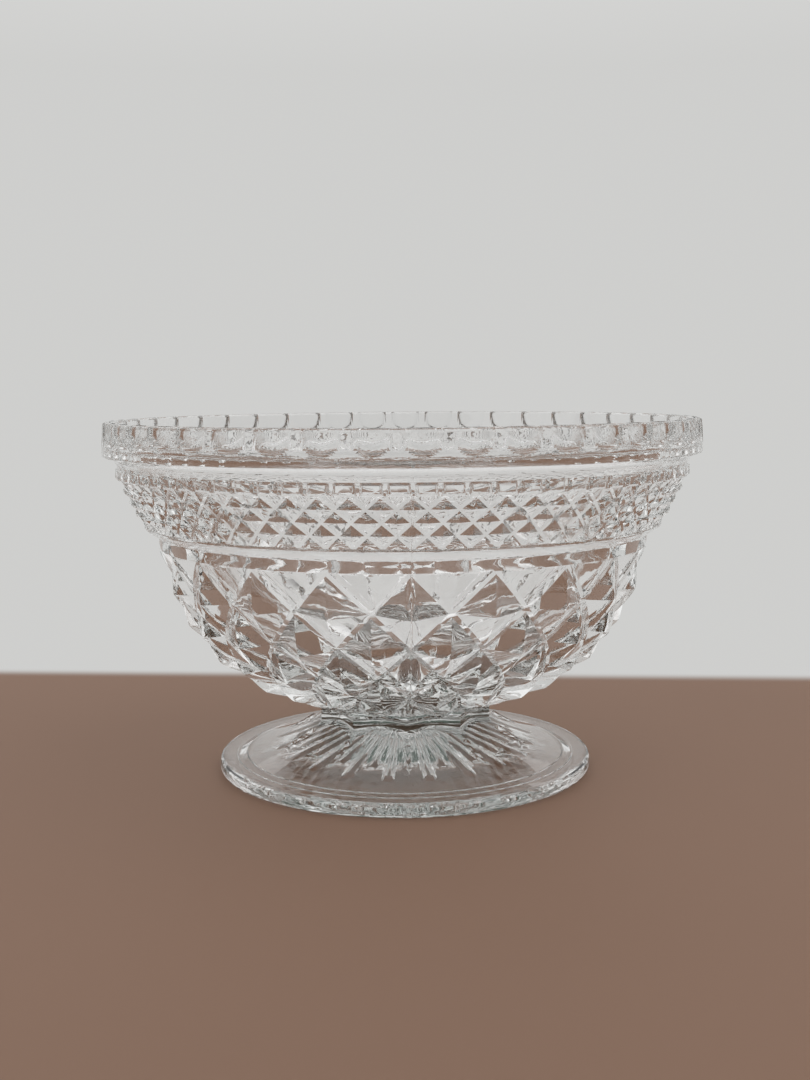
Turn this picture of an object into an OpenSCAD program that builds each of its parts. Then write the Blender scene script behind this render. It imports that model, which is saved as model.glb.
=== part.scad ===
// Footed compote bowl in clear pressed glass: a patterned bowl, a short ten-sided collar and a rayed
// foot, fused together hot. Millimetres, +Z up, origin on the axis at the level of the table,
// front (-Y) at the mould seam. Every height is stacked on the one below it.

/* [Foot] */
// Diameter of the foot
foot_d = 128; // [100:1:170]
// Height of the foot, up to the sides of the collar
foot_h = 17; // [12:0.5:30]
// Height of the rounded outer edge
edge_h = 4.6; // [3:0.1:8]
// Rounding of the outer edge
edge_round = 1.4; // [0.4:0.1:1.9]
// Width of the flat ring that the foot rests on
rest_w = 5; // [3:0.1:8]
// Height of the conical hollow under the foot
hollow_h = 9; // [6:0.5:10]
// Diameter of the hollow's flat ceiling
hollow_ceiling_d = 36; // [24:1:40]
// Long rays of the star in the hollow, with as many short ones between them
star_count = 20; // [10:1:24]
// Depth of the star's rays
star_depth = 1.4; // [0.4:0.1:2]
// Share of the way round that the rays fill near the middle
star_fill = 0.9; // [0.5:0.05:0.95]
// Diameter of the star's first ring
star_hub_d = 16; // [10:1:22]
// Width of a long ray
long_ray_w = 4.2; // [2:0.1:5]
// Distance from the inner ring line in to the tips of the long rays
long_ray_inset = 10.5; // [7:0.5:16]
// Width of a short ray
short_ray_w = 3.2; // [1.5:0.1:4]
// How much further in the short rays end
short_ray_gap = 8; // [4:0.5:12]
// Distance from the edge to the outer ring line
outer_line_inset = 5.8; // [4:0.1:8]
// Distance from the outer ring line to the inner one
line_spacing = 3.7; // [2:0.1:6]
// Height of the step at each ring line
line_step = 0.35; // [0.1:0.05:0.8]
// Height of the ridges that run out from the collar's corners
ridge_h = 1.8; // [0.4:0.1:2.5]
// Width of a ridge at the collar
ridge_w = 3; // [1.5:0.1:6]
// Length of a ridge
ridge_l = 12; // [4:0.5:18]
// Width of the flare's steep part, below the collar
flare_knee_w = 3.6; // [2:0.1:6]
// Height of the flare's outer, flatter part above the ring lines
flare_skirt_h = 3; // [1:0.1:5]
// Width of the flare's outer, flatter part
flare_skirt_w = 10.5; // [6:0.1:16]

/* [Collar] */
// Diameter over the corners of the collar
collar_d = 60; // [44:1:80]
// Height of the collar
collar_h = 6.5; // [4:0.1:16]
// Sides of the collar
collar_sides = 10; // [6:1:16]
// How far the hollow sides lie inside the corners
collar_scallop = 2.6; // [0.5:0.1:4]
// How far the collar spreads at both ends
collar_flare = 1.2; // [0.3:0.1:3]
// Slope of the seat on the foot, which lets the corners of the collar reach further down
seat_slope = 0.8; // [0.2:0.05:1]
// Margin of the faces around the collar on the bowl and on the foot
weld_margin = 0.8; // [0.3:0.1:3]

/* [Large diamonds] */
// Height of the belly with the large diamonds
large_h = 53.1; // [35:0.5:80]
// Large diamonds around the belly
large_count = 20; // [10:1:32]
// Half rows of large diamonds
large_rows = 5; // [3:1:9]
// Height of a large diamond's middle above its grooves
large_relief = 3.8; // [1:0.1:5]
// Fullness of the large diamonds: 1 is a flat-sided pyramid, 2 a round cushion
large_fullness = 1.2; // [1:0.1:2.5]
// Depth of the grooves at the top of the belly
large_top_relief = 2.8; // [0.3:0.1:4]
// Depth of the grooves at the bottom of the belly
large_low_relief = 0.8; // [0.3:0.1:2]
// How far the large diamonds' rows are drawn down from even spacing
large_row_drop = 0.29; // [0:0.01:0.5]
// Rise of the belly's lower curve above the collar
belly_low_rise = 8.5; // [4:0.5:16]
// Distance from the waist band in to the belly's lower curve
belly_low_inset = 11.6; // [8:0.2:20]
// Distance from the waist band down to the belly's upper curve
belly_high_drop = 16.6; // [10:0.2:26]
// Distance from the waist band in to the belly's upper curve
belly_high_inset = 2.6; // [1:0.2:6]

/* [Waist] */
// Height of the plain band above the large diamonds
band_h = 4.6; // [2:0.1:10]
// Height of the slope that closes the grooves under the plain band
band_slope_h = 0.8; // [0.5:0.1:1.5]
// Distance from the ledge in to the plain band
band_inset = 4.6; // [2:0.1:7]
// Height of the undercut ledge below the small diamonds
ledge_h = 3.6; // [2:0.1:6]
// Height of the ledge's plain edge
ledge_edge = 0.9; // [0.3:0.1:1.5]
// How far the ledge stands out from the small diamonds' grooves
ledge_proud = 1.2; // [0.4:0.1:2.5]

/* [Small diamonds] */
// Height of the band of small diamonds
small_h = 15.4; // [8:0.2:26]
// Small diamonds around the band
small_count = 66; // [30:1:84]
// Half rows of small diamonds
small_rows = 4; // [2:1:8]
// Height of a small diamond's point above its grooves
small_relief = 2; // [0.5:0.1:2.6]
// Depth of the grooves where the diamonds end
small_edge_relief = 1; // [0.3:0.1:1.6]
// How far the band narrows from its top to its bottom
small_slope = 7.6; // [3:0.1:11]

/* [Dentils] */
// Height of the row of dentils
dentil_h = 3.8; // [2:0.1:7]
// Dentils around the bowl
dentil_count = 80; // [40:1:100]
// How far a dentil stands out
dentil_relief = 0.9; // [0.3:0.1:1.4]
// Width of the notch between dentils
dentil_notch = 1.4; // [0.6:0.1:2.4]
// Width of the slope around a dentil
dentil_slope = 0.6; // [0.3:0.1:1]
// Distance from the dentils in to the small diamonds' grooves
dentil_overhang = 2.4; // [1:0.1:4]

/* [Rim] */
// Diameter of the rim band at its widest
rim_d = 200; // [160:1:260]
// Height of the cove under the rim band
cove_h = 3.9; // [2:0.1:8]
// Distance from the rim band in to the dentils
cove_inset = 4.2; // [2:0.1:6]
// How far the cove is hollowed
cove_sag = 0.5; // [0.1:0.05:1.2]
// Height of the rim band
rim_h = 10.9; // [8:0.1:20]
// How much narrower the rim band is at its top
rim_taper = 0.6; // [0:0.1:2]
// Rounding of the rim band's lower edge
rim_lip = 0.9; // [0.3:0.1:1.5]
// Wall at the rim
rim_wall = 5; // [3.5:0.1:8]
// Thumbprints around the rim
thumb_count = 45; // [20:1:48]
// Width of a thumbprint
thumb_w = 11.4; // [5:0.1:12.5]
// Depth of a thumbprint
thumb_depth = 1.5; // [0.4:0.1:2.4]
// Fullness of a thumbprint: 2 is an even hollow, more has steeper sides
thumb_fullness = 3; // [2:0.5:5]
// Plain strip under the thumbprints
thumb_strip = 3; // [1.5:0.1:5]
// Turn of the thumbprints from the seam, in degrees
thumb_turn = 1.6; // [0:0.1:8]

/* [Inside] */
// Thickness of the bowl's floor
floor_t = 7.5; // [4:0.1:14]
// Distance from the waist band in to the inside
waist_wall = 7; // [6:0.1:10]
// Lean of the inside at the waist, as radius gained in a height of 1
waist_lean = 0.25; // [0.1:0.01:0.4]
// Lean of the inside at the rim, as radius gained in a height of 1
rim_lean = 0.12; // [0:0.01:0.3]
// Rings that draw the smooth inside, half of them below the waist
inside_rings = 14; // [8:2:24]
// Sides of the rings without a pattern
plain_sides = 72; // [48:2:120]

/* [Hidden] */
// Heights, from the table up
collar_z = foot_h;
bowl_z = collar_z + collar_h;
waist_z = bowl_z + large_h;
ledge_z = waist_z + band_h;
small_z = ledge_z + ledge_h;
dentil_z = small_z + small_h;
cove_z = dentil_z + dentil_h;
rim_z = cove_z + cove_h;
top_z = rim_z + rim_h;
floor_z = bowl_z + floor_t;
// Radii, from the rim in and from the collar out
rim_r = rim_d / 2;
rim_top_r = rim_r - rim_taper;
dentil_r = rim_r - cove_inset;
small_top_r = dentil_r - dentil_overhang;
small_low_r = small_top_r - small_slope;
ledge_r = small_low_r + ledge_proud;
band_r = ledge_r - band_inset;
collar_r = collar_d / 2;
seat_r = collar_r + collar_flare - collar_scallop;
weld_r = collar_r + collar_flare + weld_margin;
base_r = weld_r + weld_margin;
foot_r = foot_d / 2;
outer_line_r = foot_r - outer_line_inset;
inner_line_r = outer_line_r - line_spacing;
long_tip_r = inner_line_r - long_ray_inset;
short_tip_r = long_tip_r - short_ray_gap;
hollow_ceiling_r = hollow_ceiling_d / 2;
inside_waist_r = band_r - waist_wall;
inside_top_r = rim_r - rim_wall;
rest_out_r = foot_r - edge_round;
rest_in_r = rest_out_r - rest_w;
// Height of the foot's upper face at its inner ring line
line_z = edge_h + 2 * line_step;
angle_tie = 0.001;

// A point on a cubic curve through four guide points [radius, height], and its outward normal
function curve(g, t) = pow(1 - t, 3) * g[0] + 3 * t * pow(1 - t, 2) * g[1]
    + 3 * t * t * (1 - t) * g[2] + pow(t, 3) * g[3];
function curve_slope(g, t) = pow(1 - t, 2) * (g[1] - g[0]) + 2 * t * (1 - t) * (g[2] - g[1])
    + t * t * (g[3] - g[2]);
function curve_normal(g, t) = let (d = curve_slope(g, t)) [d[1], -d[0]] / norm(d);

// A ring is a list of [angle, radius, height], once round from the front towards +X
function plain_ring(r, z, sides = plain_sides) = [for (i = [0 : sides - 1]) [360 * i / sides, r, z]];
function pole(z) = [[0, 0, z]];

// Distance from a diamond's middle, 0, to its grooves, 1. Grooves cross where column + row is even.
function diamond_reach(column, row, rows) =
    max(abs((column + row) % 2 - 1), abs((column - row + 2 * rows) % 2 - 1));

// One ring of diamonds: the surface over their middles, sunk along its normal towards the grooves
function diamond_ring(count, split, row, rows, surface, normal, depth, fullness) = [
    for (i = [0 : 2 * split * count - 1])
        let (p = surface - depth * pow(diamond_reach(i / split, row, rows), fullness) * normal)
            [180 * i / (split * count), p[0], p[1]]
];

// Depth of the grooves at a row: shallower at the first, the top one, and at the last
function groove_depth(row, rows, top, full, low) =
    min(top + (full - top) * min(1, row), low + (full - low) * min(1, rows - row));

// Next point round a ring, with the angle carried past a full turn
function ring_at(ring, i) = let (n = len(ring), p = ring[i % n]) [p[0] + (i < n ? 0 : 360), p[1], p[2]];

// Walking two rings at once: step along the lower one first?
// Where both next points share an angle, the seam between triangles follows the deeper diagonal.
function step_low(low, high, i, j, i_end, j_end) =
    i >= i_end ? false
    : j >= j_end ? true
    : let (
        next_low = ring_at(low, i + 1),
        next_high = ring_at(high, j + 1),
        rising = ring_at(low, i)[1] + next_high[1],
        falling = next_low[1] + ring_at(high, j)[1]
    ) abs(next_low[0] - next_high[0]) > angle_tie ? next_low[0] < next_high[0] : falling < rising;

// Triangles between two rings whose points start at low_at and high_at in the point list
function strip(low, high, low_at, high_at) =
    let (
        n = len(low),
        m = len(high),
        i_end = n > 1 ? n : 0,
        j_end = m > 1 ? m : 0
    ) [
        for (
            i = 0, j = 0, go_low = step_low(low, high, 0, 0, i_end, j_end);
            i < i_end || j < j_end;
            i_next = i + (go_low ? 1 : 0),
            j = j + (go_low ? 0 : 1),
            i = i_next,
            go_low = step_low(low, high, i, j, i_end, j_end)
        )
            [low_at + i % n, high_at + j % m, go_low ? low_at + (i + 1) % n : high_at + (j + 1) % m]
    ];

// A closed solid of stacked rings, from a pole underneath, round the outside, to a pole on top
module skin(rings) {
    starts = [for (k = 0, s = 0; k < len(rings); s = s + len(rings[k]), k = k + 1) s];
    points = [for (ring = rings) for (p = ring) [p[1] * sin(p[0]), -p[1] * cos(p[0]), p[2]]];
    faces = [
        for (k = [0 : len(rings) - 2])
            each strip(rings[k], rings[k + 1], starts[k], starts[k + 1])
    ];
    polyhedron(points, faces, convexity = 8);
}

// Height of the seat on the foot, at the sides of the collar and further out
function seat_z(r) = collar_z - seat_slope * (r - seat_r);

// Foot: the flare's upper face runs from around the seat down to the inner ring line
flare_guides = [
    [weld_r, seat_z(weld_r)],
    [weld_r + flare_knee_w, seat_z(weld_r + flare_knee_w)],
    [inner_line_r - flare_skirt_w, line_z + flare_skirt_h],
    [inner_line_r, line_z]
];
flare_columns = 12 * collar_sides;
flare_steps = 8;

// Distance along a circle to the nearest of so many evenly spaced angles, the first one at turn
function off_nearest(angle, count, turn, r) =
    let (pitch = 360 / count)
        ((angle - turn + 360 + pitch / 2) % pitch - pitch / 2) * r * PI / 180;

// Height of a ridge: a roof that gets lower and narrower on its way out
function ridge_rise(angle, r) =
    let (
        left = 1 - (r - weld_r) / ridge_l,
        off = abs(off_nearest(angle, collar_sides, 0, r))
    ) left <= 0 ? 0 : ridge_h * max(0, left - 2 * off / ridge_w);

// The ridges rise out of the face around the seat
function flare_ring(t) =
    let (p = curve(flare_guides, t), share = min(1, (p[0] - weld_r) / ridge_h)) [
        for (i = [0 : flare_columns - 1])
            let (angle = 360 * i / flare_columns)
                [angle, p[0], p[1] + share * ridge_rise(angle, p[0])]
    ];

// Depth of a ray of the star: round across, wider on its way out and rounded off at its tip
function star_ray(angle, r, turn, width, tip_r) =
    let (
        half_w = min(width, star_fill * PI * r / star_count) / 2,
        across = off_nearest(angle, star_count, turn, r) / half_w,
        over_tip = max(0, (r - tip_r) / half_w + 1)
    ) 2 * star_depth * half_w / width * max(0, 1 - across * across - over_tip * over_tip);

// The hollow is a cone with a flat ceiling, and the star is sunk into it
star_columns = 12 * star_count;
function hollow_z(r) = hollow_h * min(1, (rest_in_r - r) / (rest_in_r - hollow_ceiling_r));
function star_ring(r) = [
    for (i = [0 : star_columns - 1])
        let (
            angle = 360 * i / star_columns,
            long_ray = star_ray(angle, r, 180 / star_count, long_ray_w, long_tip_r),
            short_ray = star_ray(angle, r, 0, short_ray_w, short_tip_r)
        )
            [angle, r, hollow_z(r) + max(long_ray, short_ray)]
];
// Rings that draw the star, three of them at the tips of each kind of ray
tip_bend = 0.15;
star_radii = concat(
    [star_hub_d / 2, hollow_ceiling_r, (hollow_ceiling_r + short_tip_r) / 2],
    [for (inset = [0.5, tip_bend, 0]) short_tip_r - inset * short_ray_w],
    [for (inset = [0.5, tip_bend, 0]) long_tip_r - inset * long_ray_w]
);

module foot() {
    star = [for (r = star_radii) star_ring(r)];
    edge = [
        plain_ring(rest_in_r, 0),
        plain_ring(rest_out_r, 0),
        plain_ring(foot_r, edge_round),
        plain_ring(foot_r, edge_h - edge_round),
        plain_ring(rest_out_r, edge_h),
        plain_ring(outer_line_r, edge_h),
        plain_ring(outer_line_r - line_step, edge_h + line_step),
        plain_ring(inner_line_r + line_step, edge_h + line_step)
    ];
    flare = [for (k = [flare_steps : -1 : 0]) flare_ring(k / flare_steps)];
    color("lightcyan", 0.6)
        skin(concat([pole(hollow_h)], star, edge, flare, [collar_ring(collar_flare, 0), pole(foot_h)]));
}

// Collar: hollow sides between ridged corners, spread at both ends where it is fused on
collar_points = 4;
function collar_ring(spread, up) = [
    for (i = [0 : collar_points * collar_sides - 1])
        let (
            hollow = collar_scallop * sin(180 * (i % collar_points) / collar_points),
            low_z = seat_z(collar_r + collar_flare - hollow)
        )
            [
                360 * i / (collar_points * collar_sides),
                collar_r + spread - hollow,
                low_z + up * (bowl_z - low_z)
            ]
];
collar_spread_up = [0, 0.2, 0.8, 1];

module collar() {
    sides = [for (up = collar_spread_up) collar_ring(up == 0 || up == 1 ? collar_flare : 0, up)];
    color("lightcyan", 0.6)
        skin(concat([pole(collar_z)], sides, [pole(bowl_z)]));
}

// Bowl: the curve over the points of the large diamonds, from the weld face up to the waist band
belly_guides = [
    [base_r, bowl_z],
    [band_r - belly_low_inset, bowl_z + belly_low_rise],
    [band_r - belly_high_inset, waist_z - belly_high_drop],
    [band_r, waist_z]
];

large_split = 2;
function large_ring(row) =
    let (
        share = row / large_rows,
        t = 1 - share - large_row_drop * share * pow(1 - share, 2)
    ) diamond_ring(
        large_count, large_split, row, large_rows, curve(belly_guides, t), curve_normal(belly_guides, t),
        groove_depth(row, large_rows, large_top_relief, large_relief, large_low_relief), large_fullness
    );

// The small diamonds are flat-sided points on a cone that narrows downwards
function small_ring(row) =
    let (
        share = row / small_rows,
        depth = groove_depth(row, small_rows, small_edge_relief, small_relief, small_edge_relief),
        groove = [small_top_r - small_slope * share, dentil_z - small_h * share],
        normal = [1, 0]
    ) diamond_ring(small_count, 1, row, small_rows, groove + depth * normal, normal, depth, 1);

// A row of dentils: a notch and two corners for each one
function dentil_ring(corner_out, z) = [
    for (k = [0 : dentil_count - 1], corner = [0 : 2])
        let (
            pitch = 360 / dentil_count,
            half_notch = dentil_notch / dentil_r * 90 / PI,
            turn = [0, half_notch, pitch - half_notch][corner]
        )
            [k * pitch + turn, dentil_r - dentil_relief + (corner == 0 ? 0 : corner_out), z]
];

// Depth of a thumbprint at a distance across it and a height: a flute, open at the top, with a round end
function thumb_cut(across, z) =
    let (
        half = thumb_w / 2,
        below = max(0, rim_z + thumb_strip + half - z),
        reach = norm([across, below]) / half
    ) thumb_depth * max(0, 1 - pow(reach, thumb_fullness));

thumb_columns = [-0.5, -0.5, -0.25, 0, 0.25, 0.5];
function rim_ring(z) = [
    for (k = [0 : thumb_count - 1], c = [0 : len(thumb_columns) - 1])
        let (
            pitch = 360 / thumb_count,
            across = c == 0 ? -rim_r * pitch * PI / 360 : thumb_columns[c] * thumb_w,
            r = rim_r - rim_taper * (z - rim_z) / rim_h
        )
            [
                thumb_turn + k * pitch + across / rim_r * 180 / PI,
                r - thumb_cut(across, z),
                z
            ]
];

// The smooth inside: one curve from the floor to the waist, and one from the waist to the rim
inside_knee_walls = 1.6;
inside_knee_h = 0.35 * large_h;
upper_h = top_z - waist_z;
inside_low_guides = [
    [0, floor_z],
    [inside_waist_r - inside_knee_walls * waist_wall, floor_z],
    [inside_waist_r - waist_lean * inside_knee_h, waist_z - inside_knee_h],
    [inside_waist_r, waist_z]
];
inside_high_guides = [
    [inside_waist_r, waist_z],
    [inside_waist_r + waist_lean * upper_h / 3, waist_z + upper_h / 3],
    [inside_top_r - rim_lean * upper_h / 2, top_z - upper_h / 2],
    [inside_top_r, top_z]
];

module bowl() {
    belly = [for (k = [large_split * large_rows : -1 : 0]) large_ring(k / large_split)];
    waist = [
        plain_ring(band_r, waist_z + band_slope_h, 2 * small_count),
        plain_ring(band_r, ledge_z, 2 * small_count),
        plain_ring(ledge_r, small_z - ledge_edge, 2 * small_count)
    ];
    small = [for (row = [small_rows : -1 : 0]) small_ring(row)];
    dentils = [
        dentil_ring(0, dentil_z + dentil_slope / 2),
        dentil_ring(dentil_relief, dentil_z + dentil_slope),
        dentil_ring(dentil_relief, cove_z - dentil_slope),
        dentil_ring(0, cove_z)
    ];
    cove_low_r = dentil_r - dentil_relief;
    cove_high_r = rim_r - rim_lip;
    cove = [
        plain_ring((cove_low_r + cove_high_r) / 2 - cove_sag, cove_z + cove_h / 2, thumb_count * 2),
        plain_ring(cove_high_r, rim_z, thumb_count * 2)
    ];
    thumb_z = rim_z + thumb_strip;
    rim_heights = [rim_z + rim_lip, thumb_z, thumb_z + thumb_w / 6, thumb_z + thumb_w / 2, top_z];
    rim = [for (z = rim_heights) rim_ring(z)];
    inside_steps = inside_rings / 2;
    inside = [
        for (guides = [inside_high_guides, inside_low_guides], k = [0 : inside_steps - 1])
            let (p = curve(guides, 1 - k / inside_steps))
                plain_ring(p[0], p[1])
    ];
    color("lightcyan", 0.6)
        skin(concat(
            [pole(bowl_z), plain_ring(weld_r, bowl_z, 2 * large_count)],
            belly, waist, small, dentils, cove, rim, inside, [pole(floor_z)]
        ));
}

foot();
collar();
bowl();
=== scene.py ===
"""Footed compote bowl in clear pressed glass: bowl, collar and foot on a plain floor.

Lengths in the mesh code are millimetres and angles degrees, as in the part's own source. Angle 0 is
the front (-Y), where a mould seam runs, and angles grow towards +X. The stage, the lamps and the
camera are in metres.
"""

from math import cos, pi, radians, sin

import bpy
import numpy as np
from mathutils import Matrix, Vector


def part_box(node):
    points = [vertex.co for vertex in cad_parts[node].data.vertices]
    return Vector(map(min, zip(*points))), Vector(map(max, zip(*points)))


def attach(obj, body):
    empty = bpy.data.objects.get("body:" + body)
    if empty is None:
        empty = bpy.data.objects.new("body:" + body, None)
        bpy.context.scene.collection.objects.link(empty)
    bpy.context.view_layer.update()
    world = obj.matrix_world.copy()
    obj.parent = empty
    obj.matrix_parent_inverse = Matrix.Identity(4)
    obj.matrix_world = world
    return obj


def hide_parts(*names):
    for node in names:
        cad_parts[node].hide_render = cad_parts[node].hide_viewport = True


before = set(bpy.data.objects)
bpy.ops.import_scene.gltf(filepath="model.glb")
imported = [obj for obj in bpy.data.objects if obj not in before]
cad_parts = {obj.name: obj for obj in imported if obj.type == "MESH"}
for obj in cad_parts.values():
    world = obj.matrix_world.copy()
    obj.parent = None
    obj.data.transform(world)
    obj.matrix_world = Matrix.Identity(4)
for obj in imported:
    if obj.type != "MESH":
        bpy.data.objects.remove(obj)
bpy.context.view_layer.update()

MM = 0.001

# Faces that meet at a sharper angle than this show a crisp edge
crease_angle = 14


def node_corners(node):
    """Lowest and highest corner of a CAD node, in millimetres."""
    low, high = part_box(node)
    return np.array(low) / MM, np.array(high) / MM


foot_high = node_corners("foot")[1]
bowl_low, bowl_high = node_corners("bowl")

# Heights of the bowl's zones, and the thickness of its floor
large_h = 53.1
band_h = 4.6
ledge_h = 3.6
small_h = 15.4
dentil_h = 3.8
cove_h = 3.9
floor_t = 7.5

# Levels, from the table up
collar_z = foot_high[2]
bowl_z = bowl_low[2]
top_z = bowl_high[2]
waist_z = bowl_z + large_h
ledge_z = waist_z + band_h
small_z = ledge_z + ledge_h
dentil_z = small_z + small_h
cove_z = dentil_z + dentil_h
rim_z = cove_z + cove_h
floor_z = bowl_z + floor_t

# Mould seams: where they run, and the size of the fine ridge they leave
seam_angles = (0, 120, 240)
seam_w = 0.6
seam_h = 0.28

# Steps between the radii
cove_inset = 4.2
dentil_overhang = 2.4
small_slope = 7.6
ledge_proud = 1.2
band_inset = 4.6
rim_wall = 5
waist_wall = 7
collar_flare = 1.2
weld_margin = 0.8
outer_line_inset = 5.8
line_spacing = 3.7

# Radii, from the rim in and from the collar out
rim_r = bowl_high[0] - seam_h
dentil_r = rim_r - cove_inset
small_top_r = dentil_r - dentil_overhang
small_low_r = small_top_r - small_slope
ledge_r = small_low_r + ledge_proud
band_r = ledge_r - band_inset
inside_top_r = rim_r - rim_wall
inside_waist_r = band_r - waist_wall
collar_r = 30
weld_r = collar_r + collar_flare + weld_margin
base_r = weld_r + weld_margin
foot_r = foot_high[0] - seam_h
outer_line_r = foot_r - outer_line_inset
inner_line_r = outer_line_r - line_spacing

# Points around the rings without a pattern, outside and inside
plain_columns = 288
inside_columns = 180


def curve(guides, t):
    """Points on a cubic curve from the first of four guide points to the last, one row for each t."""
    t = np.atleast_1d(t)[:, None]
    a, b, c, d = np.array(guides, float)
    return (1 - t) ** 3 * a + 3 * t * (1 - t) ** 2 * b + 3 * t * t * (1 - t) * c + t**3 * d


def curve_normal(guides, t):
    """Outward normals of that curve."""
    t = np.atleast_1d(t)[:, None]
    a, b, c, d = np.array(guides, float)
    slope = (1 - t) ** 2 * (b - a) + 2 * t * (1 - t) * (c - b) + t * t * (d - c)
    return np.c_[slope[:, 1], -slope[:, 0]] / np.linalg.norm(slope, axis=1)[:, None]


def rounded(corners, steps=4):
    """A profile of [radius, height] points from corners [radius, height, rounding]."""
    points = []
    for k, (r, z, rounding) in enumerate(corners):
        here = np.array((r, z), float)
        if rounding == 0 or k in (0, len(corners) - 1):
            points.append(here)
            continue
        before = np.array(corners[k - 1][:2], float) - here
        after = np.array(corners[k + 1][:2], float) - here
        start = here + before * rounding / np.linalg.norm(before)
        end = here + after * rounding / np.linalg.norm(after)
        for t in np.linspace(0, 1, steps + 1):
            points.append((1 - t) ** 2 * start + 2 * t * (1 - t) * here + t * t * end)
    return points


def around(count, seams=True):
    """Angles once round, with extra ones that draw the fine ridge of each seam."""
    even = np.arange(count) * 360 / count
    if not seams:
        return even
    ridge = np.degrees(seam_w / 2 / rim_r) * np.array((-1, -0.5, 0, 0.5, 1))
    fine = np.concatenate([(angle + ridge) % 360 for angle in seam_angles])
    gap = np.abs((even[:, None] - fine + 180) % 360 - 180).min(axis=1)
    return np.unique(np.concatenate([even[gap > 1e-6], fine]).round(7))


def seam_lift(angles, r):
    """Height of the seam's ridge at each angle."""
    away = np.abs((angles[:, None] - np.array(seam_angles) + 180) % 360 - 180).min(axis=1)
    return seam_h * np.clip(1 - (radians(1) * away * r / (seam_w / 2)) ** 2, 0, 1)


def ring(angles, r, z, seams=True):
    """A ring of points: angles, radii and heights."""
    r = np.broadcast_to(np.asarray(r, float), angles.shape)
    z = np.broadcast_to(np.asarray(z, float), angles.shape)
    return angles, r + (seam_lift(angles, r) if seams else 0), z


def pole(z):
    """A ring that is a single point on the axis."""
    return np.zeros(1), np.zeros(1), np.full(1, float(z))


def zip_strip(low, high):
    """Triangles between two rings whose points have different angles."""
    n, m = len(low[0]), len(high[0])
    low_turn = np.append(low[0], low[0][0] + 360)
    high_turn = np.append(high[0], high[0][0] + 360)
    i = j = 0
    faces = []
    while i < n or j < m:
        if j == m or (i < n and low_turn[i + 1] <= high_turn[j + 1]):
            faces.append((i % n, (i + 1) % n, n + j % m))
            i += 1
        else:
            faces.append((i % n, n + (j + 1) % m, n + j % m))
            j += 1
    return np.array(faces)


def strip(low, high):
    """Triangles between two rings, low ring first. Quads are cut along their deeper diagonal."""
    n, m = len(low[0]), len(high[0])
    i = np.arange(max(n, m))
    following = (i + 1) % max(n, m)
    if n == 1:
        return np.c_[0 * i, 1 + following, 1 + i]
    if m == 1:
        return np.c_[i, following, 0 * i + n]
    if n != m or not np.allclose(low[0], high[0]):
        return zip_strip(low, high)
    rising = low[1] + high[1][following] < low[1][following] + high[1]
    first = np.c_[i, following, np.where(rising, n + following, n + i)]
    second = np.c_[np.where(rising, i, following), n + following, n + i]
    return np.concatenate([first, second])


def skin(name, rings, fused):
    """A closed piece of stacked rings. The strips numbered in fused lie inside the glass, at a weld."""
    starts = np.concatenate([[0], np.cumsum([len(each[0]) for each in rings])])
    angle, r, z = (np.concatenate([each[k] for each in rings]) for k in range(3))
    turn = np.radians(angle)
    points = np.c_[r * np.sin(turn), -r * np.cos(turn), z] * MM
    strips = [strip(low, high) for low, high in zip(rings, rings[1:])]
    faces = np.concatenate([each + start for each, start in zip(strips, starts)])
    ends = np.concatenate([[0], np.cumsum([len(each) for each in strips])])
    slots = np.zeros(len(faces), np.int32)
    for k in fused:
        slots[ends[k] : ends[k + 1]] = 1
    mesh = bpy.data.meshes.new(name)
    mesh.from_pydata(points.tolist(), [], faces.tolist())
    mesh.polygons.foreach_set("use_smooth", np.ones(len(faces), bool))
    mesh.set_sharp_from_angle(angle=radians(crease_angle))
    mesh.materials.append(glass)
    mesh.materials.append(weld)
    mesh.polygons.foreach_set("material_index", slots)
    mesh.update()
    piece = bpy.data.objects.new(name, mesh)
    bpy.context.scene.collection.objects.link(piece)
    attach(piece, "root")
    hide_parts(name.removesuffix("_glass"))


def link(tree, start, end):
    tree.links.new(start, end)


def combine(tree, operation, first, second):
    """The outcome of a math operation on two outputs."""
    math = tree.nodes.new("ShaderNodeMath")
    math.operation = operation
    link(tree, first, math.inputs[0])
    link(tree, second, math.inputs[1])
    return math.outputs["Value"]


def ramp(tree, value, start, end, low=0, high=1, easing="LINEAR"):
    """An output that goes from low to high while the value goes from start to end, and no further."""
    span = tree.nodes.new("ShaderNodeMapRange")
    span.interpolation_type = easing
    span.inputs["From Min"].default_value = start
    span.inputs["From Max"].default_value = end
    span.inputs["To Min"].default_value = low
    span.inputs["To Max"].default_value = high
    link(tree, value, span.inputs["Value"])
    return span.outputs["Result"]


def noise(tree, place, scale, detail):
    """A noise pattern with about so many spots to the metre."""
    pattern = tree.nodes.new("ShaderNodeTexNoise")
    pattern.inputs["Scale"].default_value = scale
    pattern.inputs["Detail"].default_value = detail
    link(tree, place, pattern.inputs["Vector"])
    return pattern.outputs["Fac"]


# Grain of the rim band, in heights above the band's lower edge and distances out from the inner wall
grain_full_h = 1.5
grain_fade_h = 3
grain_faded_h = 9
grain_strength = 0.9
grain_top_strength = 0.2
grain_in = 1.5
grain_out = 2.5


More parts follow.
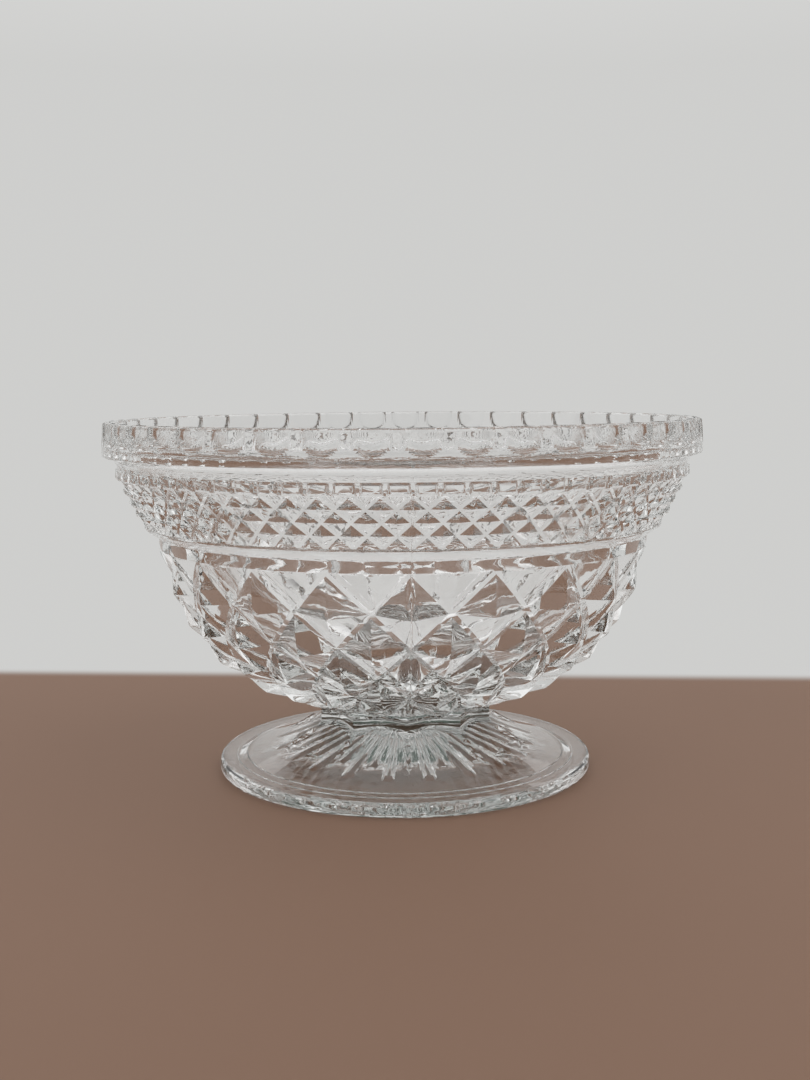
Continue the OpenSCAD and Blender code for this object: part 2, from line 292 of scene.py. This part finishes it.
def grain_share(tree, place):
    """Strength of the grain: on the outside of the rim band only, and weaker towards the top."""
    axes = tree.nodes.new("ShaderNodeSeparateXYZ")
    link(tree, place, axes.inputs["Vector"])
    height = axes.outputs["Z"]
    band = ramp(tree, height, rim_z * MM, (rim_z + grain_full_h) * MM)
    fade_z = (rim_z + grain_fade_h) * MM
    faded_z = (rim_z + grain_faded_h) * MM
    fade = ramp(tree, height, fade_z, faded_z, grain_strength, grain_top_strength)
    level = tree.nodes.new("ShaderNodeVectorMath")
    level.operation = "MULTIPLY"
    level.inputs[1].default_value = (1, 1, 0)
    link(tree, place, level.inputs[0])
    radius = tree.nodes.new("ShaderNodeVectorMath")
    radius.operation = "LENGTH"
    link(tree, level.outputs["Vector"], radius.inputs[0])
    in_r = (inside_top_r + grain_in) * MM
    out_r = (inside_top_r + grain_out) * MM
    outside = ramp(tree, radius.outputs["Value"], in_r, out_r)
    return combine(tree, "MULTIPLY", combine(tree, "MULTIPLY", band, fade), outside)


def glass_material():
    """Clear pressed glass: a faint green depth, a soft ripple, and a fine grain on the rim band."""
    material = bpy.data.materials.new("pressed_glass")
    material.use_nodes = True
    tree = material.node_tree
    shader = tree.nodes["Principled BSDF"]
    output = tree.nodes["Material Output"]
    shader.inputs["Base Color"].default_value = (1, 1, 1, 1)
    shader.inputs["IOR"].default_value = 1.52
    shader.inputs["Transmission Weight"].default_value = 1

    # Surface: ripple all over, grain on the rim band, and a trace of haze
    place = tree.nodes.new("ShaderNodeTexCoord").outputs["Object"]
    ripple = noise(tree, place, scale=110, detail=2.5)
    bump = tree.nodes.new("ShaderNodeBump")
    bump.inputs["Strength"].default_value = 0.25
    bump.inputs["Distance"].default_value = 0.0003
    link(tree, ripple, bump.inputs["Height"])
    peel = tree.nodes.new("ShaderNodeBump")
    peel.inputs["Distance"].default_value = 0.00004
    link(tree, grain_share(tree, place), peel.inputs["Strength"])
    link(tree, noise(tree, place, scale=900, detail=1), peel.inputs["Height"])
    link(tree, bump.outputs["Normal"], peel.inputs["Normal"])
    link(tree, peel.outputs["Normal"], shader.inputs["Normal"])
    link(tree, ramp(tree, ripple, 0, 1, high=0.03), shader.inputs["Roughness"])

    # Light on its way from a lamp passes through, so that the shadow is a pale one
    path = tree.nodes.new("ShaderNodeLightPath")
    clear = tree.nodes.new("ShaderNodeBsdfTransparent")
    clear.inputs["Color"].default_value = (0.8, 0.8, 0.8, 1)
    mix = tree.nodes.new("ShaderNodeMixShader")
    link(tree, path.outputs["Is Shadow Ray"], mix.inputs[0])
    link(tree, shader.outputs["BSDF"], mix.inputs[1])
    link(tree, clear.outputs["BSDF"], mix.inputs[2])
    link(tree, mix.outputs["Shader"], output.inputs["Surface"])
    depth = tree.nodes.new("ShaderNodeVolumeAbsorption")
    depth.inputs["Color"].default_value = (0.65, 0.7, 0.67, 1)
    depth.inputs["Density"].default_value = 2.5
    link(tree, depth.outputs["Volume"], output.inputs["Volume"])
    return material


def weld_material():
    """The fused faces inside the glass, where light goes straight through."""
    material = bpy.data.materials.new("fused_glass")
    material.use_nodes = True
    tree = material.node_tree
    tree.nodes.remove(tree.nodes["Principled BSDF"])
    clear = tree.nodes.new("ShaderNodeBsdfTransparent")
    link(tree, clear.outputs["BSDF"], tree.nodes["Material Output"].inputs["Surface"])
    return material


glass = glass_material()
weld = weld_material()

# Collar
collar_sides = 10
collar_scallop = 2.6
collar_columns = 24
collar_fillet = 0.3
collar_steps = 10
seat_slope = 0.8
seat_r = collar_r + collar_flare - collar_scallop


def seat_z(r):
    """Height of the conical seat on the foot: the collar's corners reach further down than its sides."""
    return collar_z - seat_slope * (r - seat_r)


def collar_outline(spread, up):
    """The ten-sided outline with hollow sides, a share of the way up from the seat to the bowl."""
    angles = around(collar_sides * collar_columns, seams=False)
    side = (angles * collar_sides / 360) % 1
    hollow = collar_scallop * np.sin(pi * side)
    low_z = seat_z(collar_r + collar_flare - hollow)
    return ring(angles, collar_r + spread - hollow, low_z + up * (bowl_z - low_z), seams=False)


def make_collar():
    rings = [pole(collar_z)]
    for up in np.linspace(0, 1, collar_steps + 1):
        near = min(up, 1 - up) / collar_fillet
        rings.append(collar_outline(collar_flare * max(0, 1 - near) ** 2, up))
    rings.append(pole(bowl_z))
    skin("collar_glass", rings, fused=(0, len(rings) - 2))


# Foot: its edge, resting ring and ring lines
edge_h = 4.6
edge_rounding = 1.9
rest_inset = 6.4
rest_in_r = foot_r - rest_inset
rest_rounding = 0.3
line_step = 0.35
line_rounding = 0.15
line_z = edge_h + 2 * line_step

# Foot: the flare up to the collar, with ridges that run out from the collar's corners
flare_knee_w = 3.6
flare_skirt_w = 10.5
flare_skirt_h = 3
flare_guides = (
    (weld_r, seat_z(weld_r)),
    (weld_r + flare_knee_w, seat_z(weld_r + flare_knee_w)),
    (inner_line_r - flare_skirt_w, line_z + flare_skirt_h),
    (inner_line_r, line_z),
)
flare_rings = 44
flare_columns = 360
ridge_h = 1.8
ridge_w = 3
ridge_l = 12

# Foot: the hollow underneath, with its star of long and short rays
hollow_h = 9
hollow_ceiling_r = 18
hollow_rings = 44
star_count = 20
star_columns = 720
star_hub_r = 8
star_depth = 1.4
star_fill = 0.9
long_ray_w = 4.2
long_ray_inset = 10.5
long_tip_r = inner_line_r - long_ray_inset
short_ray_w = 3.2
short_ray_gap = 8
short_tip_r = long_tip_r - short_ray_gap


def off_nearest(angles, count, turn, r):
    """Distance along the ring to the nearest of so many evenly spaced angles."""
    pitch = 360 / count
    return ((angles - turn + pitch / 2) % pitch - pitch / 2) * radians(1) * r


def flare_ring(angles, r, z):
    """The smooth flare with the ridges, which rise from nothing at the weld."""
    left = max(0, 1 - (r - weld_r) / ridge_l)
    off_corner = np.abs(off_nearest(angles, collar_sides, 0, r))
    ridge = ridge_h * np.clip(left - 2 * off_corner / ridge_w, 0, 1)
    rise = min(1, max(0, r - weld_r) / ridge_h)
    return ring(angles, r, z + rise * ridge)


def star_rays(angles, r, turn, width, tip_r):
    """Depth of one family of flutes: they widen from the middle out and end in round tips."""
    half_w = min(width / 2, star_fill * r * radians(90 / star_count))
    across = off_nearest(angles, star_count, turn, r) / half_w
    over_tip = max(0, (r - tip_r) / half_w + 1)
    return 2 * star_depth * half_w / width * np.clip(1 - across**2 - over_tip**2, 0, 1)


def star_ring(angles, r):
    """The hollow underside, with a star of long and short flutes."""
    long_rays = star_rays(angles, r, 180 / star_count, long_ray_w, long_tip_r)
    short_rays = star_rays(angles, r, 0, short_ray_w, short_tip_r)
    z = hollow_h * min(1, (rest_in_r - r) / (rest_in_r - hollow_ceiling_r))
    return ring(angles, r, z + np.maximum(long_rays, short_rays), seams=False)


def make_foot():
    hollow = np.linspace(star_hub_r, rest_in_r, hollow_rings + 1)[:-1]
    rays = around(star_columns, seams=False)
    edge = rounded([
        (hollow[-1], star_ring(rays, hollow[-1])[2][0], 0),
        (rest_in_r, 0, rest_rounding),
        (foot_r, 0, edge_rounding),
        (foot_r, edge_h, edge_rounding),
        (outer_line_r, edge_h, line_rounding),
        (outer_line_r - line_step, edge_h + line_step, line_rounding),
        (inner_line_r + line_step, edge_h + line_step, line_rounding),
        (inner_line_r, line_z, 0),
    ])
    plain = around(plain_columns)
    flare = around(flare_columns)
    shares = np.linspace(1, 0, flare_rings + 1)
    rings = [pole(hollow_h)]
    rings += [star_ring(rays, r) for r in hollow]
    rings += [ring(plain, r, z) for r, z in edge[1:-1]]
    rings += [flare_ring(flare, r, z) for r, z in curve(flare_guides, shares)]
    rings += [collar_outline(collar_flare, 0), pole(collar_z)]
    skin("foot_glass", rings, fused=(len(rings) - 2,))


# Bowl: the belly with the large diamonds
large_count = 20
large_rows = 5
large_split = 12
large_relief = 3.8
large_top_relief = 2.8
large_low_relief = 0.8
large_fullness = 1.2
large_row_drop = 0.29
belly_low_inset = 11.6
belly_low_rise = 8.5
belly_high_inset = 2.6
belly_high_drop = 16.6
belly_guides = (
    (base_r, bowl_z),
    (band_r - belly_low_inset, bowl_z + belly_low_rise),
    (band_r - belly_high_inset, waist_z - belly_high_drop),
    (band_r, waist_z),
)

# Bowl: the plain band and the undercut ledge. A few close rings keep the shading of the band even
band_slope_h = 0.8
band_close_h = 2
band_close_reach = 0.8
band_rounding = 0.6
undercut_rise = 1.2
undercut_rounding = 1.5
ledge_edge = 0.9
ledge_rounding = 0.4

# Bowl: the small diamonds
small_count = 66
small_rows = 4
small_split = 6
small_relief = 2.0
small_edge_relief = 1.0

# Bowl: the dentils. The notch and the slope beside it are shares of the pitch
dentil_count = 80
dentil_relief = 0.65
dentil_slope = 0.8
dentil_notch_end = 0.06
dentil_top_start = 0.2
dentil_edges = (dentil_notch_end, 0.1, 0.14, dentil_top_start)
dentil_low_steps = (0.2, 0.4, 0.6, dentil_slope)
dentil_high_steps = (0.8, 0.6, 0.4, 0.1)

# Bowl: the cove
cove_foot_inset = 0.1
cove_bend_out = 0.6
cove_bend_h = 2.4
cove_rounding = 1.8

# Bowl: the rim band with its thumbprints
rim_lip_inset = 0.1
rim_lip_rounding = 0.3
rim_lip_h = 0.8
rim_start_h = 0.9
rim_taper = 0.6
rim_edge = 1.2
rim_edge_rings = 5
rim_flat_w = 2.2
thumb_count = 45
thumb_columns = 8
thumb_rings = 3
thumb_share = 0.82
thumb_depth = 1.5
thumb_fullness = 3.6
thumb_strip = 3.0
thumb_turn = 1.6

# Bowl: the inside
waist_lean = 0.25
rim_lean = 0.12
inside_low_rings = 18
inside_high_rings = 48
inside_edge_rings = 2
inside_floor_inset = 11.2
inside_bend_share = 0.35

# Bowl: a slight knee of the inside at the rim band's lower edge, where a brown line shows in the glass
knee_z = rim_z + 1.2
knee_half_h = 2
knee_out = 0.95
knee_fade = 3


def diamond_reach(angles, count, row, flat):
    """Distance from a diamond's middle, 0, to its grooves, 1. The groove's floor is a flat share wide."""
    column = angles * count / 180
    a = np.abs((column + row) % 2 - 1)
    b = np.abs((column - row) % 2 - 1)
    return np.minimum(1, np.maximum(a, b) / (1 - flat))


def groove_depth(row, rows, top, full, low):
    """Depth of the grooves: top at the first row, low at the last, and full one row away from these."""
    return min(top + (full - top) * min(1, row), low + (full - low) * min(1, rows - row))


def belly_rings():
    """The large diamonds, from the collar up, with rows counted from the waist down."""
    angles = around(2 * large_count * large_split)
    for k in range(large_split * large_rows, -1, -1):
        row = k / large_split
        share = row / large_rows
        t = 1 - share - large_row_drop * share * (1 - share) ** 2
        point = curve(belly_guides, t)[0]
        normal = curve_normal(belly_guides, t)[0]
        reach = diamond_reach(angles, large_count, row, 1 / large_split)
        depth = groove_depth(row, large_rows, large_top_relief, large_relief, large_low_relief)
        sunk = depth * reach**large_fullness
        yield ring(angles, point[0] - sunk * normal[0], point[1] - sunk * normal[1])


def waist_rings():
    """The plain band and the undercut ledge above it."""
    plain = around(plain_columns)
    profile = rounded([
        (band_r, waist_z + band_slope_h, 0),
        (band_r, waist_z + band_close_h, band_close_reach),
        (band_r, ledge_z, band_rounding),
        ((band_r + ledge_r) / 2, ledge_z + undercut_rise, undercut_rounding),
        (ledge_r, small_z - ledge_edge, ledge_rounding),
        (ledge_r, small_z, ledge_rounding),
        (small_low_r, small_z, 0),
    ])
    return [ring(plain, r, z) for r, z in profile[:-1]]


def small_rings():
    """The small diamonds, with rows counted from the dentils down."""
    angles = around(2 * small_count * small_split)
    for k in range(small_split * small_rows, -1, -1):
        row = k / small_split
        share = row / small_rows
        depth = groove_depth(row, small_rows, small_edge_relief, small_relief, small_edge_relief)
        groove_r = small_top_r + (small_low_r - small_top_r) * share
        reach = diamond_reach(angles, small_count, row, 1 / small_split)
        yield ring(angles, groove_r + depth * (1 - reach), dentil_z + (small_z - dentil_z) * share)


def smooth_step(x):
    x = np.clip(x, 0, 1)
    return x * x * (3 - 2 * x)


def dentil_rings():
    """Low blocks with rounded edges, and a notch between each two."""
    shares = np.array((0, *dentil_edges, 0.5, *(1 - edge for edge in reversed(dentil_edges))))
    turns = (np.arange(dentil_count)[:, None] + shares).ravel() * 360 / dentil_count
    within = (turns * dentil_count / 360) % 1
    from_notch = np.minimum(within, 1 - within)
    block = smooth_step((from_notch - dentil_notch_end) / (dentil_top_start - dentil_notch_end))
    heights = (*dentil_low_steps, dentil_h / 2, *(dentil_h - step for step in dentil_high_steps))
    for up in heights:
        level = smooth_step(min(up, dentil_h - up) / dentil_slope)
        yield ring(turns, dentil_r - dentil_relief * (1 - block * level), dentil_z + up, seams=False)


def cove_rings():
    """The cove, up to the lower edge of the rim band."""
    plain = around(plain_columns)
    notch_r = dentil_r - dentil_relief
    profile = rounded([
        (notch_r - cove_foot_inset, cove_z, 0),
        (notch_r + cove_bend_out, cove_z + cove_bend_h, cove_rounding),
        (rim_r - rim_lip_inset, rim_z, rim_lip_rounding),
        (rim_r, rim_z + rim_lip_h, 0),
    ])
    return [ring(plain, r, z) for r, z in profile[:-1]]


def rim_rings():
    """The rim band with its thumbprints: flutes, open at the top, with round lower ends."""
    pitch = 360 / thumb_count
    half = thumb_share * pitch / 2
    between = (half + pitch / 2) / 2
    steps = np.linspace(-1, 1, 2 * thumb_columns + 1)
    turns = np.concatenate([[-pitch / 2, -between], half * steps, [between]])
    angles = (thumb_turn + (np.arange(thumb_count)[:, None] * pitch + turns).ravel()) % 360
    order = np.argsort(angles)
    angles = angles[order]
    across = (np.tile(turns, thumb_count) / half)[order]
    round_h = half * radians(1) * rim_r
    end_z = rim_z + thumb_strip + round_h
    arc = end_z - round_h * np.sqrt(1 - steps[thumb_columns:] ** 2)
    straight = np.linspace(end_z, top_z - rim_edge, thumb_rings + 1)[1:]

    def outer(z):
        reach = np.hypot(across, max(0, end_z - z) / round_h)
        cut = thumb_depth * np.clip(1 - reach**thumb_fullness, 0, 1)
        return rim_r - rim_taper * (z - rim_z) / (top_z - rim_z) - cut

    for z in (rim_z + rim_start_h, rim_z + thumb_strip / 2, *arc, *straight):
        yield ring(angles, outer(z), z, seams=False)
    for turn in np.linspace(0, pi / 2, rim_edge_rings + 1)[1:]:
        r = outer(top_z) - rim_edge * (1 - cos(turn))
        yield ring(angles, r, top_z - rim_edge * (1 - sin(turn)), seams=False)


def inside_profile():
    """The smooth inside, from the rounded top of the rim down to the middle of the floor."""
    bend_h = inside_bend_share * (waist_z - bowl_z)
    upper_h = top_z - waist_z
    low_guides = (
        (0, floor_z),
        (inside_waist_r - inside_floor_inset, floor_z),
        (inside_waist_r - waist_lean * bend_h, waist_z - bend_h),
        (inside_waist_r, waist_z),
    )
    high_guides = (
        (inside_waist_r, waist_z),
        (inside_waist_r + waist_lean * upper_h / 3, waist_z + upper_h / 3),
        (inside_top_r - rim_lean * upper_h / 2, top_z - upper_h / 2),
        (inside_top_r, top_z),
    )
    wall = np.concatenate([
        curve(high_guides, np.linspace(1, 0, inside_high_rings + 1)[:-1]),
        curve(low_guides, np.linspace(1, 0, inside_low_rings + 1)),
    ])
    off = (wall[:, 1] - knee_z) / knee_half_h
    wall[:, 0] += knee_out * off / np.sqrt(1 + off * off) * np.exp(-((off / knee_fade) ** 2))
    edge = rounded([
        (inside_top_r + rim_flat_w, top_z, 0),
        (inside_top_r, top_z, rim_edge),
        (*wall[inside_edge_rings], 0),
    ])
    return [*edge, *wall[inside_edge_rings + 1 : -1]]


def make_bowl():
    smooth = around(inside_columns, seams=False)
    rings = [pole(bowl_z), collar_outline(collar_flare, 1)]
    rings += belly_rings()
    rings += waist_rings()
    rings += small_rings()
    rings += dentil_rings()
    rings += cove_rings()
    rings += rim_rings()
    rings += [ring(smooth, r, z, seams=False) for r, z in inside_profile()]
    rings.append(pole(floor_z))
    skin("bowl_glass", rings, fused=(0,))


make_foot()
make_collar()
make_bowl()

# Stage: a plain floor that goes over into the pale background, close behind the bowl and far around it
background = (0.62, 0.62, 0.61, 1)
floor_colour = (0.3, 0.185, 0.13, 1)
floor_turn = -5.8
floor_half = 6.0
floor_gap = 0.0002
floor_near = 0.5
floor_far = 1.2
wall_near = 0.125
wall_far = 0.145

# Surroundings: directions are given by the height or the depth of a unit arrow
light_colour = (0.75, 0.76, 0.78, 1)
light_strength = 0.5
ceiling_colour = (0.98, 0.98, 0.98, 1)
ceiling_start = 0.22
ceiling_full = 0.75
room_colour = (0.03, 0.027, 0.023, 1)
room_side = 0.3
room_front = -0.1
room_high = 1.1
room_low = 0.3


def seen_rays(tree):
    """1 for rays that the camera, a reflection or a refraction sends, 0 for rays that gather light."""
    path = tree.nodes.new("ShaderNodeLightPath")
    total = path.outputs["Is Camera Ray"]
    for kind in ("Is Glossy Ray", "Is Transmission Ray"):
        total = combine(tree, "MAXIMUM", total, path.outputs[kind])
    return total


def floor_material():
    """A matt floor that takes on the colour of the background far out and behind the bowl."""
    material = bpy.data.materials.new("plain_floor")
    material.use_nodes = True
    tree = material.node_tree
    shader = tree.nodes["Principled BSDF"]
    shader.inputs["Base Color"].default_value = floor_colour
    shader.inputs["Roughness"].default_value = 0.6
    shader.inputs["Specular IOR Level"].default_value = 0.1
    place = tree.nodes.new("ShaderNodeTexCoord").outputs["Object"]
    length = tree.nodes.new("ShaderNodeVectorMath")
    length.operation = "LENGTH"
    link(tree, place, length.inputs[0])
    away = ramp(tree, length.outputs["Value"], floor_near, floor_far, easing="SMOOTHERSTEP")
    axes = tree.nodes.new("ShaderNodeSeparateXYZ")
    link(tree, place, axes.inputs["Vector"])
    behind = ramp(tree, axes.outputs["Y"], wall_near, wall_far, easing="SMOOTHERSTEP")
    share = combine(tree, "MULTIPLY", combine(tree, "MAXIMUM", away, behind), seen_rays(tree))
    pale = tree.nodes.new("ShaderNodeEmission")
    pale.inputs["Color"].default_value = background
    mix = tree.nodes.new("ShaderNodeMixShader")
    link(tree, share, mix.inputs[0])
    link(tree, shader.outputs["BSDF"], mix.inputs[1])
    link(tree, pale.outputs["Emission"], mix.inputs[2])
    link(tree, mix.outputs["Shader"], tree.nodes["Material Output"].inputs["Surface"])
    return material


def make_floor():
    mesh = bpy.data.meshes.new("floor")
    corners = ((-1, -1), (1, -1), (1, 1), (-1, 1))
    mesh.from_pydata([(floor_half * x, floor_half * y, 0) for x, y in corners], [], [(0, 1, 2, 3)])
    mesh.materials.append(floor_material())
    floor = bpy.data.objects.new("floor", mesh)
    floor.location.z = -floor_gap
    floor.rotation_euler.z = radians(floor_turn)
    bpy.context.scene.collection.objects.link(floor)


def make_world():
    """Soft light, a pale backdrop and a brighter ceiling. The glass also sees a dim room in front."""
    world = bpy.data.worlds.new("studio")
    bpy.context.scene.world = world
    world.use_nodes = True
    tree = world.node_tree
    light = tree.nodes["Background"]
    light.inputs["Color"].default_value = light_colour
    light.inputs["Strength"].default_value = light_strength
    place = tree.nodes.new("ShaderNodeTexCoord")
    axes = tree.nodes.new("ShaderNodeSeparateXYZ")
    link(tree, place.outputs["Generated"], axes.inputs["Vector"])
    height = tree.nodes.new("ShaderNodeValToRGB")
    stops = height.color_ramp.elements
    stops[0].position = ceiling_start
    stops[0].color = background
    stops[1].position = ceiling_full
    stops[1].color = ceiling_colour
    link(tree, axes.outputs["Z"], height.inputs["Fac"])
    front = ramp(tree, axes.outputs["Y"], room_side, room_front, easing="SMOOTHSTEP")
    low = ramp(tree, axes.outputs["Z"], room_high, room_low, easing="SMOOTHSTEP")
    path = tree.nodes.new("ShaderNodeLightPath")
    in_glass = ramp(tree, path.outputs["Is Camera Ray"], 1, 0)
    dim = combine(tree, "MULTIPLY", combine(tree, "MULTIPLY", front, low), in_glass)
    surroundings = tree.nodes.new("ShaderNodeMix")
    surroundings.data_type = "RGBA"
    surroundings.inputs["B"].default_value = room_colour
    link(tree, dim, surroundings.inputs["Factor"])
    link(tree, height.outputs["Color"], surroundings.inputs["A"])
    backdrop = tree.nodes.new("ShaderNodeBackground")
    link(tree, surroundings.outputs["Result"], backdrop.inputs["Color"])
    mix = tree.nodes.new("ShaderNodeMixShader")
    link(tree, seen_rays(tree), mix.inputs[0])
    link(tree, light.outputs["Background"], mix.inputs[1])
    link(tree, backdrop.outputs["Background"], mix.inputs[2])
    link(tree, mix.outputs["Shader"], tree.nodes["World Output"].inputs["Surface"])


# The point that the lamps face
bowl_middle = (0, 0, 0.06)


def make_lamp(name, place, size, power):
    """A soft box that faces the bowl, and that isn't seen through the glass."""
    lamp = bpy.data.lights.new(name, "AREA")
    lamp.shape = "RECTANGLE"
    lamp.size, lamp.size_y = size
    lamp.energy = power
    holder = bpy.data.objects.new(name, lamp)
    holder.location = place
    facing = Vector(bowl_middle) - Vector(place)
    holder.rotation_euler = facing.to_track_quat("-Z", "Y").to_euler()
    holder.visible_transmission = False
    bpy.context.scene.collection.objects.link(holder)


# Camera: the photo's view, turned a little around the bowl so that the seam stands right of the middle
camera_distance = 0.45
camera_height = 0.1308
camera_pitch = 6.79
camera_roll = -0.48
camera_yaw = 0.08
camera_turn = -1.65
camera_lens = 44.17
camera_sensor = 36


def make_camera():
    pitch = radians(camera_pitch)
    roll = radians(camera_roll)
    yaw = radians(camera_yaw)
    right = Vector((cos(yaw), -sin(yaw), 0))
    up = Vector((sin(yaw) * sin(pitch), cos(yaw) * sin(pitch), cos(pitch)))
    ahead = Vector((sin(yaw) * cos(pitch), cos(yaw) * cos(pitch), -sin(pitch)))
    x_axis = right * cos(roll) + up * sin(roll)
    y_axis = up * cos(roll) - right * sin(roll)
    axes = Matrix((x_axis, y_axis, -ahead)).transposed().to_4x4()
    stand = Matrix.Translation((0, -camera_distance, camera_height)) @ axes
    data = bpy.data.cameras.new("camera")
    data.sensor_width = camera_sensor
    data.lens = camera_lens
    data.clip_start = 0.01
    camera = bpy.data.objects.new("camera", data)
    camera.matrix_world = Matrix.Rotation(radians(camera_turn), 4, "Z") @ stand
    bpy.context.scene.collection.objects.link(camera)
    bpy.context.scene.camera = camera


make_floor()
make_world()
make_lamp("key", place=(1.0, -0.4, 1.5), size=(2.2, 2.2), power=13)
make_lamp("fill", place=(-1.4, -0.8, 1.1), size=(2.0, 2.0), power=7)
make_lamp("back", place=(-0.3, 1.3, 1.4), size=(2.4, 1.6), power=6)
make_camera()

scene = bpy.context.scene
scene.view_settings.view_transform = "Standard"

# Facets send a ray to and fro many times before it leaves the glass
scene.cycles.max_bounces = 48
scene.cycles.glossy_bounces = 16
scene.cycles.transmission_bounces = 48
scene.cycles.transparent_max_bounces = 24
